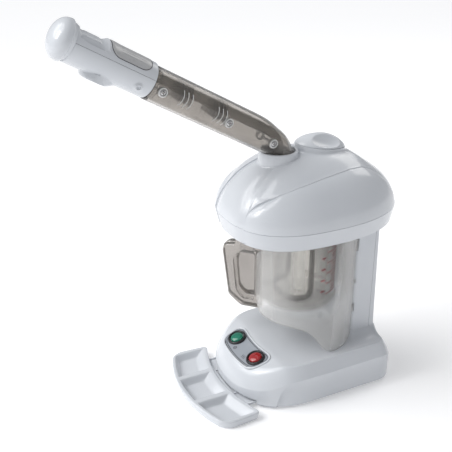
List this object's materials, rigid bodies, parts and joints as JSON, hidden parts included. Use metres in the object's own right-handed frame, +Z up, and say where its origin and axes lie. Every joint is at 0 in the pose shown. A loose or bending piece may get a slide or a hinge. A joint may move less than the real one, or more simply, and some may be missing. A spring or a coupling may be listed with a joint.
{
  "type": "facial steamer",
  "caption": "Table-top facial steamer: domed head on a column, glass water jar with grip, splash guard, slide-out tray, rocker switches and a swivelling clear steam arm.",
  "frame": {"origin": "on the table below the jar's axis", "axes": "+Z up, the user on the -Y side, X = 0 the plane of symmetry of the housing and the steam arm at rest"},
  "size_m": [0.154, 0.3791, 0.4443],
  "materials": {
    "white_shell": "high-gloss injection-moulded white, faintly blue",
    "inner_plastic": "satin moulded white, unseen side",
    "smoke_clear": "clear smoky polycarbonate",
    "frosted_clear": "frosted clear polycarbonate with a polished window",
    "jar_glass": "clear borosilicate glass",
    "panel_grey": "printed grey film with a dark keyline",
    "black_bezel": "gloss black nylon",
    "green_lens": "translucent green lens",
    "red_lens": "translucent red lens",
    "badge_grey": "gloss taupe plate",
    "steel_screw": "bright plated steel",
    "heater_steel": "heat-tinted stainless tube",
    "white_ceramic": "unglazed white ceramic",
    "seal_rubber": "soft translucent silicone",
    "foot_rubber": "black rubber",
    "board_green": "epoxy circuit board",
    "core_steel": "varnished steel laminations",
    "wire_sheath": "woven glass sleeve",
    "lamp_glass": "quartz lamp envelope"
  },
  "bodies": {
    "root": {"base_shell": "white_shell", "base_plate": "inner_plastic", "rubber_feet": "foot_rubber", "base_screws": "steel_screw", "tray_guides": "inner_plastic", "control_board": "board_green", "transformer": "core_steel", "mains_gland": "foot_rubber", "control_panel": "panel_grey", "ozone_switch_bezel": "black_bezel", "steam_switch_bezel": "black_bezel", "column_shell": "white_shell", "column_cover": "white_shell", "column_screws": "steel_screw", "wiring_loom": "wire_sheath", "splash_guard": "frosted_clear", "guard_peg": "white_shell", "head_lower_shell": "white_shell", "head_upper_shell": "white_shell", "head_screws": "steel_screw", "bayonet_ring": "inner_plastic", "boiler_lid": "heater_steel", "jar_seal": "seal_rubber", "probe_tube": "white_ceramic", "heater_element": "heater_steel", "heater_terminals": "steel_screw", "thermal_cutout": "heater_steel", "filler_tube": "inner_plastic", "steam_duct": "inner_plastic", "arm_retainer": "inner_plastic", "swivel_collar": "white_shell", "ozone_lamp": "lamp_glass", "lamp_holder": "white_ceramic"},
    "ozone_switch": {"ozone_rocker": "green_lens"},
    "steam_switch": {"steam_rocker": "red_lens"},
    "tray": {"accessory_tray": "white_shell"},
    "jar": {"glass_jar": "jar_glass", "jar_base_ring": "smoke_clear", "jar_collar": "smoke_clear", "jar_handle": "smoke_clear"},
    "cap": {"filler_cap": "white_shell", "cap_seal": "seal_rubber"},
    "arm": {"arm_shell_right": "smoke_clear", "arm_shell_left": "smoke_clear", "arm_screws": "steel_screw", "steam_pipe": "smoke_clear", "pipe_clips": "smoke_clear"},
    "nozzle": {"nozzle_upper_shell": "white_shell", "nozzle_lower_shell": "white_shell", "nozzle_badge": "badge_grey", "nozzle_pin": "white_shell", "steam_outlet": "white_shell", "nozzle_end_cap": "white_shell", "nozzle_sleeve": "inner_plastic"}
  },
  "joints": [
    {"name": "arm_swivel", "type": "hinge", "parent": "root", "child": "arm", "pos_m": [0, -0.033, 0.28], "axis": [0, 0, 1], "range_deg": [-90, 90]},
    {"name": "nozzle_turn", "type": "hinge", "parent": "arm", "child": "nozzle", "pos_m": [0, -0.17705, 0.3782], "axis": [0, -0.8678, 0.497], "range_deg": [-90, 90]},
    {"name": "tray_slide", "type": "slide", "parent": "root", "child": "tray", "axis": [0, -1, 0], "range_m": [-0.003, 0.03]},
    {"name": "ozone_rocker_tilt", "type": "hinge", "parent": "root", "child": "ozone_switch", "pos_m": [-0.0235, -0.06838, 0.04434], "axis": [1, 0, 0], "range_deg": [-8, 8]},
    {"name": "steam_rocker_tilt", "type": "hinge", "parent": "root", "child": "steam_switch", "pos_m": [0.0235, -0.06838, 0.04434], "axis": [1, 0, 0], "range_deg": [-8, 8]},
    {"name": "jar_twist", "type": "hinge", "parent": "root", "child": "jar", "pos_m": [0, 0, 0.2], "axis": [0, 0, 1], "range_deg": [-30, 0]},
    {"name": "cap_lift", "type": "slide", "parent": "root", "child": "cap", "axis": [0, 0, 1], "range_m": [0, 0.03]}
  ]
}
